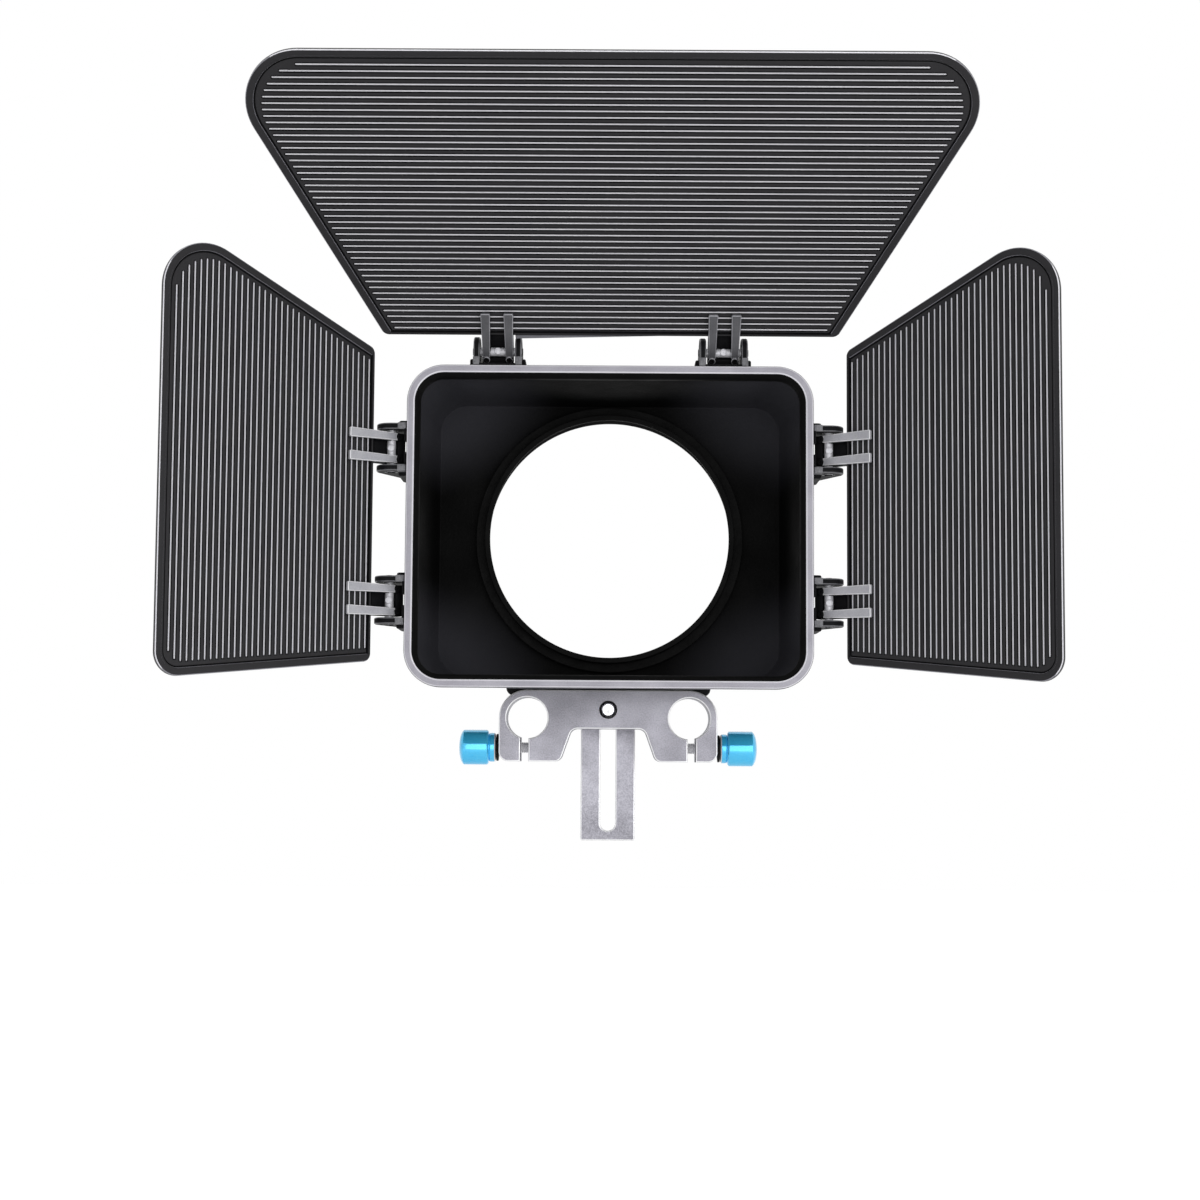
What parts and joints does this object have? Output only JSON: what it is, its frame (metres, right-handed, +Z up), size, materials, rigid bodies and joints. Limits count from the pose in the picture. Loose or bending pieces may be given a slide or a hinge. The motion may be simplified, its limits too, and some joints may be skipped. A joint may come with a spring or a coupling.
{
  "type": "matte box",
  "caption": "Rod-mounted matte box: a rectangular hood with a round lens opening, ribbed flags on clip hinges, a slotted height arm and a rod clamp with knobs.",
  "frame": {"origin": "midway between the axes of the two rod bores, at mid thickness of the clamp", "axes": "+Y along the rods towards the lens and camera, +Z up, +X to the right seen from the subject"},
  "size_m": [0.2972, 0.1403, 0.2612],
  "materials": {
    "bead_blasted_aluminium": "bead blasted, grey anodised, with bright chamfers",
    "blue_anodised_aluminium": "turned, glossy blue anodised",
    "bright_steel": "bright plated",
    "black_washer_plastic": "moulded, satin",
    "black_hood_plastic": "moulded, fine leather grain",
    "grey_rim_paint": "satin, fine texture",
    "black_ring_plastic": "moulded, satin",
    "black_hinge_plastic": "moulded, satin",
    "grey_clip_plastic": "moulded, fine texture",
    "charcoal_flag_plastic": "moulded, satin, ribbed"
  },
  "bodies": {
    "rod_clamp": {"rod_clamp_bracket": "bead_blasted_aluminium", "left_clamp_washer": "black_washer_plastic", "right_clamp_washer": "black_washer_plastic", "height_lock_washer": "black_washer_plastic"},
    "left_clamp_knob": {"left_clamp_knob": "blue_anodised_aluminium", "left_clamp_screw": "bright_steel"},
    "right_clamp_knob": {"right_clamp_knob": "blue_anodised_aluminium", "right_clamp_screw": "bright_steel"},
    "height_lock": {"height_lock_knob": "blue_anodised_aluminium", "height_lock_screw": "bright_steel"},
    "hood": {"slotted_height_arm": "bead_blasted_aluminium", "arm_screw_1": "bright_steel", "arm_screw_2": "bright_steel", "arm_screw_3": "bright_steel", "arm_screw_4": "bright_steel", "hood_shell": "black_hood_plastic", "front_rim": "grey_rim_paint", "lens_ring": "black_ring_plastic", "top_left_hinge_bracket": "black_hinge_plastic", "top_right_hinge_bracket": "black_hinge_plastic", "left_upper_hinge_bracket": "black_hinge_plastic", "left_lower_hinge_bracket": "black_hinge_plastic", "right_upper_hinge_bracket": "black_hinge_plastic", "right_lower_hinge_bracket": "black_hinge_plastic"},
    "top_flag": {"top_flag": "charcoal_flag_plastic", "top_left_flag_clip": "grey_clip_plastic", "top_left_hinge_pin": "bright_steel", "top_right_flag_clip": "grey_clip_plastic", "top_right_hinge_pin": "bright_steel"},
    "left_flag": {"left_flag": "charcoal_flag_plastic", "left_upper_flag_clip": "grey_clip_plastic", "left_upper_hinge_pin": "bright_steel", "left_lower_flag_clip": "grey_clip_plastic", "left_lower_hinge_pin": "bright_steel"},
    "right_flag": {"right_flag": "charcoal_flag_plastic", "right_upper_flag_clip": "grey_clip_plastic", "right_upper_hinge_pin": "bright_steel", "right_lower_flag_clip": "grey_clip_plastic", "right_lower_hinge_pin": "bright_steel"}
  },
  "joints": [
    {"name": "left_clamp_turn", "type": "hinge", "parent": "rod_clamp", "child": "left_clamp_knob", "pos_m": [-0.0404, 0, -0.011], "axis": [-1, 0, 0], "range_deg": [0, 720]},
    {"name": "right_clamp_turn", "type": "hinge", "parent": "rod_clamp", "child": "right_clamp_knob", "pos_m": [0.0404, 0, -0.011], "axis": [1, 0, 0], "range_deg": [0, 720]},
    {"name": "height_lock_turn", "type": "hinge", "parent": "rod_clamp", "child": "height_lock", "pos_m": [0, 0.0116, 0.0031], "axis": [0, 1, 0], "range_deg": [0, 720]},
    {"name": "height_slide", "type": "slide", "parent": "rod_clamp", "child": "hood", "axis": [0, 0, 1], "range_m": [0, 0.04]},
    {"name": "top_flag_swing", "type": "hinge", "parent": "hood", "child": "top_flag", "pos_m": [0, -0.045, 0.129], "axis": [1, 0, 0], "range_deg": [-70, 62]},
    {"name": "left_flag_swing", "type": "hinge", "parent": "hood", "child": "left_flag", "pos_m": [-0.0774, -0.045, 0.0671], "axis": [0, 0, 1], "range_deg": [-95, 21]},
    {"name": "right_flag_swing", "type": "hinge", "parent": "hood", "child": "right_flag", "pos_m": [0.0774, -0.045, 0.0671], "axis": [0, 0, -1], "range_deg": [-95, 21]}
  ]
}
